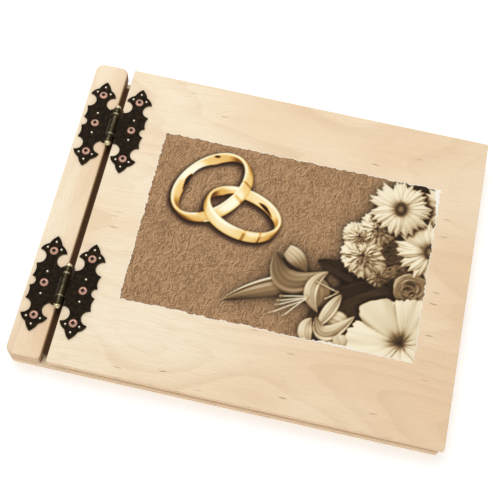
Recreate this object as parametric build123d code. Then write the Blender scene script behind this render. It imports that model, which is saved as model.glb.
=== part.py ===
"""Wedding guest book: two plywood boards, a bound page stack and a cover hung on two ornamental hinges.

Frame: +X runs from the spine to the fore-edge, +Y from the tail edge to the head edge, +Z up.
The origin is the middle of the closed book, on the surface it lies on. All sizes are in millimetres.
"""
import os
from math import sqrt

from build123d import *

# ---- Boards --------------------------------------------------------------------------------------
BOOK_LENGTH = 305.0          # spine edge to fore-edge, over the closed book
BOOK_DEPTH = 239.0           # tail edge to head edge
BOARD_THICKNESS = 8.0        # back board
COVER_THICKNESS = 6.0        # front cover
STRIP_WIDTH = 24.8           # fixed strip along the spine
HINGE_GAP = 4.4              # open slot between the strip and the cover
BOARD_SHORT_AT_FORE = 2.5    # how far the back board stops short of the cover
BOARD_SHORT_AT_HEAD = 7.5
STRIP_CORNER = 6.0           # plan radius of the strip's corners
STRIP_TAIL_GAP_CORNER = 3.0  # the strip's corner beside the slot, at the tail
STRIP_ROUND_OVER = 1.6
COVER_CORNER = 0.8
BOARD_EASE = 0.5             # sanded edge

# ---- Pages ---------------------------------------------------------------------------------------
FLY_THICKNESS = 0.55         # one stiff kraft card
FRONT_PAGES_THICKNESS = 1.3  # the sheets that turn as one bundle
REAR_PAGES_THICKNESS = 1.45
PAGE_AIR = 0.05              # free air above each turning layer
PAGE_INSET = 6.0             # pages stop this far inside the back board
REBATE_WALL = 6.5            # wood left round the page margin under the strip
REBATE_END_CLEARANCE = 0.5
FLY_CREASE_PAST_BARREL = 8.7      # fly leaf's score line, from the hinge axis
FRONT_CREASE_PAST_BARREL = 10.5   # front pages' score line, from the hinge axis
CREASE_CLEARANCE = 0.3

# ---- Printed sheet glued on the cover ------------------------------------------------------------
PRINT_LENGTH = 211.0
PRINT_DEPTH = 138.0
PRINT_THICKNESS = 0.3
PRINT_FROM_FORE = 29.2
PRINT_FROM_TAIL = 54.7

# ---- Hinges --------------------------------------------------------------------------------------
TAIL_HINGE_FROM_TAIL = 54.7  # middle of the hinge from the tail edge
HEAD_HINGE_FROM_HEAD = 52.5  # middle of the hinge from the head edge
AXIS_PAST_STRIP = 1.2        # hinge axis beyond the strip's edge
LEAF_THICKNESS = 1.2
LEAF_CENTRE = 14.0           # screw line from the hinge axis
LEAF_HALF_WIDTH = 9.7
LEAF_HALF_LENGTH = 36.5
SHOULDER_BACK = 6.6          # shoulder of the spear end, back from its tip
SHOULDER_HALF_WIDTH = 4.7
BROW_OUT_SHARE = 0.62        # brow between tip and shoulder: how far out towards the shoulder
BROW_BACK_SHARE = 0.47       # and how far back towards it
CHEEK_SWELL = (0.4, 0.8)     # cheek between shoulder and barb: how far it swells out and up
BARB_BACK = 12.2             # barb of the spear end, back from its tip
NECK_HALF_WIDTH = 4.2        # narrowest part, between a barb and the scalloped side
CUSP_FROM_MIDDLE = 13.5      # end of the scalloped side
SCALLOP_DEPTH = 1.3
NOTCH_RADIUS = 3.5           # round bite in the middle of the scalloped side
LEAF_ROUND = 0.3             # worn edge of the stamping
CUSP_RADIUS = 0.4            # worn points of the outline
BARREL_RADIUS = 2.75
BARREL_HALF_LENGTH = 14.4
MIDDLE_KNUCKLE_HALF = 8.0
KNUCKLE_GAP = 0.2
PIN_RADIUS = 1.5
PIN_CLEARANCE = 0.05
BALL_RADIUS = 2.25
BALL_OFFSET = 0.9            # ball centre beyond the end of the barrel
BALL_GAP = 0.1
TENON_RADIUS = 0.9           # turned-down end of the pin inside the cap
TENON_LENGTH = 1.5
STUD_RADIUS = 1.25           # raised ornamental studs on each leaf
STUD_HEIGHT = 0.7
STUD_PAST_SCREW = 6.9        # stud in the spear's tip, from the end screw
STUD_PAIR_PAST_SCREW = 1.8   # the pair beside the end screw
STUD_PAIR_HALF = 5.0
STUD_FROM_MIDDLE = 8.5       # studs either side of the middle screw

# ---- Fasteners -----------------------------------------------------------------------------------
SCREW_PITCH = 24.6           # hinge screws along the leaf
SCREW_HEAD_RADIUS = 3.0
SCREW_HEAD_RISE = 0.9
SCREW_SHANK_RADIUS = 1.45
SCREW_IN_WOOD = 4.4
SCREW_POINT = 1.4
SCREW_CLEARANCE = 0.05
RECESS_LENGTH = 3.2
RECESS_WIDTH = 0.85
RECESS_DEPTH = 1.1
BINDING_FROM_SPINE = 15.5
BINDING_RADIUS = 2.0
BINDING_HEAD_RADIUS = 4.0
BINDING_HEAD_SINK = 0.5      # head below the underside of the back board
BINDING_TIP_CLEARANCE = 0.3
INSERT_RADIUS = 3.0
INSERT_LENGTH = 3.8
INSERT_FLOOR = 0.2           # blind hole deeper than its insert
PAPER_HOLE_CLEARANCE = 0.4

# ---- Places worked out from the sizes above ------------------------------------------------------
spine_x = -BOOK_LENGTH / 2
fore_x = BOOK_LENGTH / 2
tail_y = -BOOK_DEPTH / 2
head_y = BOOK_DEPTH / 2
page_stack = REAR_PAGES_THICKNESS + FRONT_PAGES_THICKNESS + 2 * FLY_THICKNESS + 3 * PAGE_AIR
pages_z = BOARD_THICKNESS
cover_z = pages_z + page_stack
top_z = cover_z + COVER_THICKNESS

strip_x = spine_x + STRIP_WIDTH
cover_x = strip_x + HINGE_GAP
board_fore_x = fore_x - BOARD_SHORT_AT_FORE
board_head_y = head_y - BOARD_SHORT_AT_HEAD

axis_x = strip_x + AXIS_PAST_STRIP
axis_z = top_z + BARREL_RADIUS
hinge_y = {"tail": tail_y + TAIL_HINGE_FROM_TAIL, "head": head_y - HEAD_HINGE_FROM_HEAD}
screw_offsets = (-SCREW_PITCH, 0.0, SCREW_PITCH)

margin_x = spine_x + REBATE_WALL + REBATE_END_CLEARANCE
page_fore_x = board_fore_x - PAGE_INSET
page_tail_y = tail_y + PAGE_INSET
page_head_y = board_head_y - PAGE_INSET
rear_z = pages_z + FLY_THICKNESS
front_z = rear_z + REAR_PAGES_THICKNESS + PAGE_AIR
fly_z = front_z + FRONT_PAGES_THICKNESS + PAGE_AIR
fly_crease_x = axis_x + FLY_CREASE_PAST_BARREL
front_crease_x = axis_x + FRONT_CREASE_PAST_BARREL

binding_x = spine_x + BINDING_FROM_SPINE
# The outer binding screws rise between two hinge screws, and the middle one between the hinges.
binding_points = [(binding_x, hinge_y["tail"] - SCREW_PITCH / 2),
                  (binding_x, (hinge_y["tail"] + hinge_y["head"]) / 2),
                  (binding_x, hinge_y["head"] + SCREW_PITCH / 2)]


def slab(x0, x1, y0, y1, z0, z1):
    """A plain block between two corners."""
    return Pos((x0 + x1) / 2, (y0 + y1) / 2, (z0 + z1) / 2) * Box(x1 - x0, y1 - y0, z1 - z0)


def post(x, y, z0, z1, radius):
    """An upright round bar."""
    return Pos(x, y, (z0 + z1) / 2) * Cylinder(radius, z1 - z0)


def bar(x, y0, y1, z, radius):
    """A round bar lying along Y."""
    return Pos(x, (y0 + y1) / 2, z) * Rot(90, 0, 0) * Cylinder(radius, y1 - y0)


def board(x0, x1, y0, y1, z0, z1, corners, top_round, bottom_round):
    """A board with rounded corners in plan: spine-tail, spine-head, fore-tail and fore-head radii."""
    part = slab(x0, x1, y0, y1, z0, z1)
    places = [(x0, y0), (x0, y1), (x1, y0), (x1, y1)]
    for (x, y), radius in zip(places, corners):
        corner = part.edges().filter_by(Axis.Z).sort_by_distance((x, y, (z0 + z1) / 2))[0]
        part = fillet(corner, radius)
    part = fillet(part.faces().sort_by(Axis.Z)[-1].edges(), top_round)
    return fillet(part.faces().sort_by(Axis.Z)[0].outer_wire().edges(), bottom_round)


def save(name, *solids):
    """Write one node; a node of like pieces holds one solid for each."""
    shape = solids[0] if len(solids) == 1 else Compound(children=list(solids))
    shape.label = name
    export_step(shape, os.path.join("parts", name + ".step"))
    print(name, "volume", round(sum(solid.volume for solid in solids), 1))


# ---- Wooden boards -------------------------------------------------------------------------------
def hinge_pilots(leaf_x):
    """Pilot holes for the screws of both hinges on one screw line."""
    depth = SCREW_IN_WOOD + SCREW_CLEARANCE
    radius = SCREW_SHANK_RADIUS + SCREW_CLEARANCE
    return [post(leaf_x, middle + offset, top_z - depth, top_z, radius)
            for middle in hinge_y.values() for offset in screw_offsets]


def back_board():
    corners = (STRIP_CORNER, COVER_CORNER, COVER_CORNER, COVER_CORNER)
    part = board(spine_x, board_fore_x, tail_y, board_head_y, 0, BOARD_THICKNESS,
                 corners, BOARD_EASE, BOARD_EASE)
    for x, y in binding_points:
        part -= post(x, y, -1, BOARD_THICKNESS + 1, BINDING_RADIUS + SCREW_CLEARANCE)
        part -= Pos(x, y, 0) * countersink(SCREW_CLEARANCE)
    return part


def spine_strip():
    corners = (STRIP_CORNER, STRIP_CORNER, STRIP_TAIL_GAP_CORNER, STRIP_CORNER)
    part = board(spine_x, strip_x, tail_y, head_y, pages_z, top_z,
                 corners, STRIP_ROUND_OVER, BOARD_EASE / 2)
    part -= slab(spine_x + REBATE_WALL, strip_x + 1, page_tail_y - REBATE_END_CLEARANCE,
                 page_head_y + REBATE_END_CLEARANCE, pages_z - 1, cover_z)
    for x, y in binding_points:
        part -= post(x, y, cover_z - 1, cover_z + INSERT_LENGTH + INSERT_FLOOR,
                     INSERT_RADIUS + SCREW_CLEARANCE)
    for pilot in hinge_pilots(axis_x - LEAF_CENTRE):
        part -= pilot
    return part


def front_cover():
    part = board(cover_x, fore_x, tail_y, head_y, cover_z, top_z,
                 [COVER_CORNER] * 4, BOARD_EASE, BOARD_EASE)
    for pilot in hinge_pilots(axis_x + LEAF_CENTRE):
        part -= pilot
    return part


def cover_print():
    x1 = fore_x - PRINT_FROM_FORE
    y0 = tail_y + PRINT_FROM_TAIL
    return slab(x1 - PRINT_LENGTH, x1, y0, y0 + PRINT_DEPTH, top_z, top_z + PRINT_THICKNESS)


# ---- Pages ---------------------------------------------------------------------------------------
def punched(part):
    """Clear the binding screws through a page margin."""
    for x, y in binding_points:
        part -= post(x, y, pages_z - 1, top_z, BINDING_RADIUS + PAPER_HOLE_CLEARANCE)
    return part


def whole_sheets(z0, z1):
    """Sheets that lie flat from the binding to the fore-edge."""
    return punched(slab(margin_x, page_fore_x, page_tail_y, page_head_y, z0, z1))


def margin(crease_x, z0, z1, thickness):
    """The bound part of a turning layer, which stops just short of the score line."""
    edge_x = crease_x - thickness / 2 - CREASE_CLEARANCE
    return punched(slab(margin_x, edge_x, page_tail_y, page_head_y, z0, z1))


def turning_sheets(crease_x, z0, thickness):
    """The free part of a layer, with a round edge about its score line."""
    middle = z0 + thickness / 2
    leaf = slab(crease_x, page_fore_x, page_tail_y, page_head_y, z0, z0 + thickness)
    return leaf + bar(crease_x, page_tail_y, page_head_y, middle, thickness / 2)


# ---- Hinges --------------------------------------------------------------------------------------
def leaf_outline():
    """One leaf in plan: +X is the free side, the barrel lies beyond -X, and the screws run along Y."""
    wide = LEAF_HALF_WIDTH
    cusp = CUSP_FROM_MIDDLE
    notch = NOTCH_RADIUS
    tip = (0, LEAF_HALF_LENGTH)
    shoulder = (SHOULDER_HALF_WIDTH, LEAF_HALF_LENGTH - SHOULDER_BACK)
    brow = (BROW_OUT_SHARE * SHOULDER_HALF_WIDTH, LEAF_HALF_LENGTH - BROW_BACK_SHARE * SHOULDER_BACK)
    barb = (wide, LEAF_HALF_LENGTH - BARB_BACK)
    cheek = ((shoulder[0] + barb[0]) / 2 + CHEEK_SWELL[0], (shoulder[1] + barb[1]) / 2 + CHEEK_SWELL[1])
    neck = (NECK_HALF_WIDTH, (barb[1] + cusp) / 2)

    def head(side, up):
        """Arcs of one side of one spear-shaped end, from the tip to the cusp."""
        def at(x, y):
            return (side * x, up * y)
        return [
            ThreePointArc(at(*tip), at(*brow), at(*shoulder)),
            ThreePointArc(at(*shoulder), at(*cheek), at(*barb)),
            ThreePointArc(at(*barb), at(*neck), at(wide, cusp)),
        ]

    lines = [Line((-wide, cusp), (-wide, -cusp))]
    for up in (1, -1):
        lines += head(1, up) + head(-1, up)
        lines.append(ThreePointArc((wide, up * cusp), (wide - SCALLOP_DEPTH, up * (cusp + notch) / 2),
                                   (wide, up * notch)))
    lines.append(ThreePointArc((wide, notch), (wide - notch, 0), (wide, -notch)))
    face = make_face(Wire(lines))
    return fillet(face.vertices(), CUSP_RADIUS)


def stud_points():
    """Raised studs: three round each end screw and one on each side of the middle screw."""
    points = []
    for up in (1, -1):
        points += [(0, up * (SCREW_PITCH + STUD_PAST_SCREW)), (0, up * STUD_FROM_MIDDLE)]
        points += [(side * STUD_PAIR_HALF, up * (SCREW_PITCH + STUD_PAIR_PAST_SCREW)) for side in (1, -1)]
    return points


def leaf_plate():
    """A leaf lying on Z = 0 with its studs and countersunk screw holes, but no knuckles."""
    plate = extrude(leaf_outline(), LEAF_THICKNESS)
    plate = fillet(plate.faces().sort_by(Axis.Z)[-1].edges(), LEAF_ROUND)
    ball = (STUD_RADIUS ** 2 + STUD_HEIGHT ** 2) / (2 * STUD_HEIGHT)
    cap = Pos(0, 0, LEAF_THICKNESS + STUD_HEIGHT - ball) * Sphere(ball)
    cap &= Pos(0, 0, LEAF_THICKNESS) * Cylinder(2 * STUD_RADIUS, 2 * STUD_HEIGHT)
    for x, y in stud_points():
        plate += Pos(x, y, 0) * cap
    for y in screw_offsets:
        plate -= Pos(0, y, 0) * screw_cone(SCREW_CLEARANCE)
    return plate


def screw_cone(clearance):
    """The space of a countersunk head through the leaf."""
    cone = Cone(SCREW_SHANK_RADIUS + clearance, SCREW_HEAD_RADIUS + clearance, LEAF_THICKNESS)
    lead = Cylinder(SCREW_HEAD_RADIUS + clearance, STUD_HEIGHT)
    foot = Cylinder(SCREW_SHANK_RADIUS + clearance, LEAF_THICKNESS)
    return (Pos(0, 0, LEAF_THICKNESS / 2) * cone + Pos(0, 0, LEAF_THICKNESS + STUD_HEIGHT / 2) * lead
            + foot)


def knuckle(y0, y1):
    """One rolled knuckle about the hinge axis, with the tongue that joins it to a leaf on its +X side."""
    reach = LEAF_CENTRE - LEAF_HALF_WIDTH
    tongue = slab(0, reach + LEAF_ROUND + 0.5, y0, y1, -BARREL_RADIUS, LEAF_THICKNESS - BARREL_RADIUS)
    return bar(0, y0, y1, 0, BARREL_RADIUS) + tongue - bar(0, y0 - 1, y1 + 1, 0, PIN_RADIUS + PIN_CLEARANCE)


def leaf_with(knuckles):
    """A whole leaf about the hinge axis, on its +X side."""
    leaf = Pos(LEAF_CENTRE, 0, -BARREL_RADIUS) * leaf_plate()
    for y0, y1 in knuckles:
        leaf += knuckle(y0, y1)
    return leaf


def cover_leaf():
    """The leaf on the cover carries the long middle knuckle."""
    return leaf_with([(-MIDDLE_KNUCKLE_HALF, MIDDLE_KNUCKLE_HALF)])


def spine_leaf():
    """The leaf on the strip carries the two short end knuckles."""
    inner = MIDDLE_KNUCKLE_HALF + KNUCKLE_GAP
    leaf = leaf_with([(inner, BARREL_HALF_LENGTH), (-BARREL_HALF_LENGTH, -inner)])
    return Rot(0, 0, 180) * leaf


def ball_end(side):
    """A ball finial cut flat against the end of the barrel."""
    ball = Pos(0, side * (BARREL_HALF_LENGTH + BALL_OFFSET), 0) * Sphere(BALL_RADIUS)
    face = BARREL_HALF_LENGTH + BALL_GAP
    keep = slab(-BALL_RADIUS, BALL_RADIUS, face, face + 2 * BALL_RADIUS, -BALL_RADIUS, BALL_RADIUS)
    return ball & (keep if side > 0 else Rot(0, 0, 180) * keep)


def hinge_pin():
    """The pin with its fixed ball at the head end and a tenon for the cap at the tail end."""
    face = BARREL_HALF_LENGTH + BALL_GAP
    tenon = bar(0, -face - TENON_LENGTH, -face, 0, TENON_RADIUS)
    return bar(0, -face, face, 0, PIN_RADIUS) + ball_end(1) + tenon


def pin_cap():
    """The ball pressed on the pin's tenon."""
    face = BARREL_HALF_LENGTH + BALL_GAP
    bore = bar(0, -face - TENON_LENGTH - PIN_CLEARANCE, -face + 1, 0, TENON_RADIUS + PIN_CLEARANCE)
    return ball_end(-1) - bore


# ---- Fasteners -----------------------------------------------------------------------------------
def hinge_screw():
    """A cross-recessed raised screw standing on Z = 0, the face of the wood."""
    crown = LEAF_THICKNESS + SCREW_HEAD_RISE
    tip = -SCREW_IN_WOOD
    ball = (SCREW_HEAD_RADIUS ** 2 + SCREW_HEAD_RISE ** 2) / (2 * SCREW_HEAD_RISE)
    half = SCREW_HEAD_RADIUS / 2
    side = [(0, crown), (0, tip), (SCREW_SHANK_RADIUS, tip + SCREW_POINT), (SCREW_SHANK_RADIUS, 0),
            (SCREW_HEAD_RADIUS, LEAF_THICKNESS)]
    over = (half, crown - ball + sqrt(ball ** 2 - half ** 2))
    profile = Polyline(*side) + ThreePointArc(side[-1], over, side[0])
    body = revolve(Plane.XZ * make_face(profile), Axis.Z)
    for angle in (0, 90):
        body -= Pos(0, 0, crown) * Rot(0, 0, angle) * Box(RECESS_LENGTH, RECESS_WIDTH, 2 * RECESS_DEPTH)
    return body


def countersink(clearance):
    """The sunk head of a binding screw, from the underside up."""
    rise = BINDING_HEAD_RADIUS - BINDING_RADIUS
    cone = Cone(BINDING_HEAD_RADIUS + clearance, BINDING_RADIUS + clearance, rise)
    mouth = Cylinder(BINDING_HEAD_RADIUS + clearance, 2 * BINDING_HEAD_SINK)
    return Pos(0, 0, BINDING_HEAD_SINK + rise / 2) * cone + mouth


def binding_screw():
    """A countersunk machine screw from the underside of the back board up into its insert."""
    rise = BINDING_HEAD_RADIUS - BINDING_RADIUS
    head = Pos(0, 0, BINDING_HEAD_SINK + rise / 2) * Cone(BINDING_HEAD_RADIUS, BINDING_RADIUS, rise)
    tip = cover_z + INSERT_LENGTH - BINDING_TIP_CLEARANCE
    body = head + post(0, 0, BINDING_HEAD_SINK + rise / 2, tip, BINDING_RADIUS)
    for angle in (0, 90):
        slot = Box(BINDING_HEAD_RADIUS, RECESS_WIDTH, 2 * RECESS_DEPTH)
        body -= Pos(0, 0, BINDING_HEAD_SINK) * Rot(0, 0, angle) * slot
    return body


def binding_insert():
    """A brass insert set in the strip, flush with the floor of its rebate."""
    outside = post(0, 0, cover_z, cover_z + INSERT_LENGTH, INSERT_RADIUS)
    return outside - post(0, 0, cover_z - 1, top_z, BINDING_RADIUS + SCREW_CLEARANCE)


def screw_row(middle, leaf_x):
    """The three screws of one leaf."""
    return [Pos(leaf_x, middle + offset, top_z) * hinge_screw() for offset in screw_offsets]


# ---- Write every node ----------------------------------------------------------------------------
os.makedirs("parts", exist_ok=True)

save("back_board", back_board())
save("spine_strip", spine_strip())
save("front_cover", front_cover())
save("cover_print", cover_print())

save("back_fly_leaf", whole_sheets(pages_z, rear_z))
save("rear_pages", whole_sheets(rear_z, rear_z + REAR_PAGES_THICKNESS))
save("front_pages_margin",
     margin(front_crease_x, front_z - PAGE_AIR, front_z + FRONT_PAGES_THICKNESS, FRONT_PAGES_THICKNESS))
save("fly_leaf_margin", margin(fly_crease_x, fly_z - PAGE_AIR, cover_z, FLY_THICKNESS))
save("front_pages", turning_sheets(front_crease_x, front_z, FRONT_PAGES_THICKNESS))
save("fly_leaf", turning_sheets(fly_crease_x, fly_z, FLY_THICKNESS))

save("binding_screws", *[Pos(x, y, 0) * binding_screw() for x, y in binding_points])
save("binding_inserts", *[Pos(x, y, 0) * binding_insert() for x, y in binding_points])

for end, middle in hinge_y.items():
    place = Pos(axis_x, middle, axis_z)
    save(end + "_hinge_spine_leaf", place * spine_leaf())
    save(end + "_hinge_cover_leaf", place * cover_leaf())
    save(end + "_hinge_pin", place * hinge_pin())
    save(end + "_hinge_pin_cap", place * pin_cap())
    save(end + "_hinge_spine_screws", *screw_row(middle, axis_x - LEAF_CENTRE))
    save(end + "_hinge_cover_screws", *screw_row(middle, axis_x + LEAF_CENTRE))

print("cover axis x, z", axis_x, axis_z)
print("fly leaf axis x, z", fly_crease_x, fly_z + FLY_THICKNESS / 2)
print("front pages axis x, z", front_crease_x, front_z + FRONT_PAGES_THICKNESS / 2)
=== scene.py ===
import math

import bpy
import numpy as np
from bpy.props import FloatProperty, FloatVectorProperty, IntProperty, PointerProperty
from mathutils import Euler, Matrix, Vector


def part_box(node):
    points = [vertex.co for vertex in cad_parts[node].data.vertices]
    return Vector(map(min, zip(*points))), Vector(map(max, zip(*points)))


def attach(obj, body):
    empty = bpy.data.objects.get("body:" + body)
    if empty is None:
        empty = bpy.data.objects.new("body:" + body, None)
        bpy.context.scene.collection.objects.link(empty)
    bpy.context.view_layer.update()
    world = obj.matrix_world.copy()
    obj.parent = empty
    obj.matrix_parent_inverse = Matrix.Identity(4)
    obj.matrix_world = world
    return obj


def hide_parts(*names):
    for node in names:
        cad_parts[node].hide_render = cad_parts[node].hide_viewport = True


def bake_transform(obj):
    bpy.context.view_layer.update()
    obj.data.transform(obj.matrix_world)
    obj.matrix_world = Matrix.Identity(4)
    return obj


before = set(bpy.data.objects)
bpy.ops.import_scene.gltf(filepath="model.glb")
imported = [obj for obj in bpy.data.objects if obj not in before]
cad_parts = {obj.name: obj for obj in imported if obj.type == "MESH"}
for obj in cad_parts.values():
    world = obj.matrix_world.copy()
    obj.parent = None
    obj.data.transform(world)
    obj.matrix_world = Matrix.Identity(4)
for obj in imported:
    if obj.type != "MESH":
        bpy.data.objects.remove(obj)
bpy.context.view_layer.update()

bl_info = {
    "name": "Wedding Guest Book",
    "version": (1, 0, 0),
    "blender": (4, 5, 0),
    "location": "3D View > Sidebar > Guest Book",
    "description": "Birch-bound wedding guest book with ornamental hinges and a mounted print",
    "category": "Object",
}

MM = 0.001
TURN = 2 * math.pi

# Lengths on the book, in millimetres
LEAF_THICKNESS = 1.2
KNUCKLE_GAP = 8.6  # from a hinge's middle to the gap between two knuckles
BARREL_SHADE = (4.3, 14.8)  # half sizes of the dark patch under a hinge's barrel
BEND_LENGTH = 12  # length past the crease over which a turning sheet has closer points


# Colours and sizes -----------------------------------------------------------


def tint(red, green, blue):
    """A swatch's 0-255 values as the linear colour that the shaders take."""
    levels = [level / 255 for level in (red, green, blue)]
    return tuple(c / 12.92 if c <= 0.04045 else ((c + 0.055) / 1.055) ** 2.4 for c in levels)


def swatch(name, description, *levels):
    """A colour setting, given in levels of 0 to 255."""
    return FloatVectorProperty(
        name=name,
        description=description,
        subtype="COLOR",
        size=3,
        min=0.0,
        max=1.0,
        default=tint(*levels),
    )


def size(name, description, millimetres):
    """A length setting, given in millimetres and kept in metres."""
    return FloatProperty(
        name=name,
        description=description,
        subtype="DISTANCE",
        unit="LENGTH",
        min=0.0,
        default=millimetres * MM,
        precision=5,
    )


class GuestBookWood(bpy.types.PropertyGroup):
    pale: swatch("Pale birch", "Face veneer between the growth lines", 249, 233, 204)
    warm: swatch("Warm birch", "Face veneer in its warmer, pinker clouds", 237, 206, 168)
    line: swatch("Growth line", "Late wood in the face veneer", 222, 190, 154)
    fleck: swatch("Fleck", "Short brown pith flecks", 140, 102, 62)
    ply: swatch("Long ply", "Edge of a ply that runs with the edge", 238, 211, 178)
    cross_ply: swatch("Cross ply", "Edge of a ply cut across its fibres", 216, 182, 144)
    end_grain: swatch("End grain", "Solid wood cut across, at the ends of the spine strip", 198, 166, 132)
    knot: swatch("Knot", "Dark knots and gaps in the edges of the plies", 96, 60, 32)
    # Painted shade on the walls of the slot between strip and cover: darker low down, paler near the
    # strip's top. The barrel shade is a darker painted shade on the wood under each barrel.
    slot: swatch("Slot shading", "Shaded wood in the slot between strip and cover", 108, 72, 40)
    slot_light: swatch("Pale slot shading", "Slot shading near the top of the strip", 168, 128, 80)
    barrel_shade: swatch("Barrel shade", "Dark wood right under a hinge barrel", 40, 27, 16)
    ply_thickness: size("Ply thickness", "Thickness of one ply in the edges", 1.2)


class GuestBookHinges(bpy.types.PropertyGroup):
    bronze: swatch("Black bronze", "Antique finish on the hinge leaves", 22, 16, 9)
    patina: swatch("Patina", "Browner patches in the antique finish", 36, 27, 16)
    worn: swatch("Worn brass", "Brass that shows where the finish has rubbed off", 150, 124, 70)
    barrel: swatch("Barrel", "Greenish brown finish of the barrels", 54, 44, 24)
    # Bright brass is real rubbed brass on the barrels' rims, and also a painted highlight on the upward
    # faces of pins, ball caps and inserts and on the knuckle edges.
    brass: swatch("Bright brass", "Ball caps and the rubbed rims of the barrels", 236, 224, 182)
    # The stud tips are polished, and their light colour is also a painted highlight.
    stud_polish_and_glint: swatch("Stud", "Polished tips of the cast studs", 214, 206, 190)
    copper: swatch("Copper", "Plating of the small wood screws", 240, 194, 172)
    copper_dull: swatch("Dull copper", "Tarnished patches in the copper", 196, 134, 106)
    copper_rim_shade: swatch("Copper rim", "Darker copper towards a screw head's rim", 150, 86, 62)
    recess: swatch("Recess", "Shadowed cross in a screw head", 34, 14, 8)


class GuestBookPages(bpy.types.PropertyGroup):
    paper: swatch("Writing paper", "Cream writing paper", 240, 233, 216)
    kraft: swatch("Kraft card", "Brown card of the fly leaves", 134, 96, 62)
    slot: swatch("Slot shade", "Edges of the sheets that show in the slot", 58, 36, 18)
    zinc: swatch("Zinc", "Darker crystals in the binding screws' plating", 150, 152, 156)
    zinc_light: swatch("Light zinc", "Lighter crystals in the plating", 198, 199, 200)
    zinc_dull: swatch("Dull zinc", "Handled patches in the plating", 122, 118, 108)
    sheets: IntProperty(
        name="Turning sheets",
        description="Number of sheets in the front pages",
        min=2,
        max=12,
        default=7,
    )
    rear_sheets: IntProperty(
        name="Lying sheets",
        description="Number of sheets drawn in the edges of the rear pages",
        min=2,
        max=20,
        default=7,
    )
    gap: size("Sheet gap", "Air between two sheets", 0.03)
    unevenness: size("Unevenness", "How far a sheet's edge may stand back in the stack", 0.6)


class GuestBookPrint(bpy.types.PropertyGroup):
    ground: swatch("Ground", "Brown ground of the picture", 179, 140, 101)
    ground_cloud: swatch("Ground cloud", "Darker clouds in the picture's ground", 164, 125, 88)
    ground_dark: swatch("Ground crease", "Creases in the picture's ground", 92, 62, 36)
    ground_light: swatch("Ground crest", "Crests in the picture's ground", 220, 185, 145)
    halo: swatch("Ring shadow", "Plum-brown shadow that the rings cast", 52, 26, 20)
    shadow: swatch("Shadow", "Deepest sepia, between the flowers", 24, 14, 7)
    leaf: swatch("Leaf", "Sepia of the leaves and dark petals", 88, 66, 44)
    petal: swatch("Petal", "Middle sepia of the petals", 152, 122, 84)
    petal_light: swatch("Light petal", "Light sepia of the petals", 216, 195, 156)
    petal_white: swatch("White petal", "Lightest tone of the petals", 250, 238, 208)
    gold_dark: swatch("Gold shadow", "Darkest reflection in the rings", 24, 10, 2)
    gold_deep: swatch("Deep gold", "Brown reflections in the rings", 128, 78, 24)
    gold: swatch("Gold", "Main colour of the rings", 220, 164, 78)
    gold_light: swatch("Light gold", "Light reflections in the rings", 248, 214, 138)
    gold_white: swatch("Gold glint", "Brightest glint on the rings", 255, 252, 222)
    core: swatch("Paper core", "White paper at the torn edge", 250, 245, 232)
    tear: size("Tear", "How far the torn edge wanders inwards", 1.3)
    core_width: size("Core width", "Width of the bared paper core", 0.45)
    wedge: size("Core wedge", "Widest part of the bare wedge at the upper right corner", 3.6)
    grid: size("Grid", "Spacing of the sheet's points away from its edges", 0.58)


class GuestBookStage(bpy.types.PropertyGroup):
    floor: swatch("Floor", "Pale studio floor", 250, 250, 249)
    floor_cloud: swatch("Floor cloud", "Faint mottle in the floor", 245, 245, 245)
    floor_size: FloatProperty(
        name="Floor size",
        description="Side of the square floor",
        subtype="DISTANCE",
        unit="LENGTH",
        min=1.0,
        default=8.0,
    )
    glow: FloatProperty(
        name="Floor glow", description="Light that the floor itself gives off", min=0.0, default=0.3
    )
    key_power: FloatProperty(
        name="Key power", description="Power of the large overhead light", min=0.0, default=9.6
    )
    fill_power: FloatProperty(
        name="Fill power", description="Power of the side light", min=0.0, default=2.4
    )
    sky: FloatProperty(
        name="Sky strength", description="Brightness of the white surroundings", min=0.0, default=0.58
    )


class GuestBookSettings(bpy.types.PropertyGroup):
    wood: PointerProperty(type=GuestBookWood)
    hinges: PointerProperty(type=GuestBookHinges)
    pages: PointerProperty(type=GuestBookPages)
    picture: PointerProperty(type=GuestBookPrint)
    stage: PointerProperty(type=GuestBookStage)


# Materials -------------------------------------------------------------------


class Signal:
    """A node's output. Arithmetic on it adds Math nodes to its material."""

    def __init__(self, finish, socket):
        self.finish = finish
        self.socket = socket

    def math(self, operation, *values):
        settings = {"operation": operation}
        return self.finish.node("ShaderNodeMath", settings, dict(enumerate(values)))

    def __add__(self, other):
        return self.math("ADD", self, other)

    def __sub__(self, other):
        return self.math("SUBTRACT", self, other)

    def __rsub__(self, other):
        return self.math("SUBTRACT", other, self)

    def __mul__(self, other):
        return self.math("MULTIPLY", self, other)

    def __truediv__(self, other):
        return self.math("DIVIDE", self, other)

    def __pow__(self, other):
        return self.math("POWER", self, other)

    def __abs__(self):
        return self.math("ABSOLUTE", self)

    __radd__ = __add__
    __rmul__ = __mul__

    def sin(self):
        return self.math("SINE", self)

    def fraction(self):
        return self.math("FRACT", self)

    def lower(self, other):
        return self.math("MINIMUM", self, other)

    def higher(self, other):
        return self.math("MAXIMUM", self, other)

    def step(self, start, end):
        """0 before start, 1 past end, smooth between; start may be the larger."""
        inputs = {"Value": self, "From Min": start, "From Max": end}
        return self.finish.node("ShaderNodeMapRange", {"interpolation_type": "SMOOTHSTEP"}, inputs)

    def ramp(self, *stops):
        """The colour that this value has along a row of (place, colour) stops."""
        return self.finish.node("ShaderNodeValToRGB", {"stops": stops}, {"Fac": self})


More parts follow.
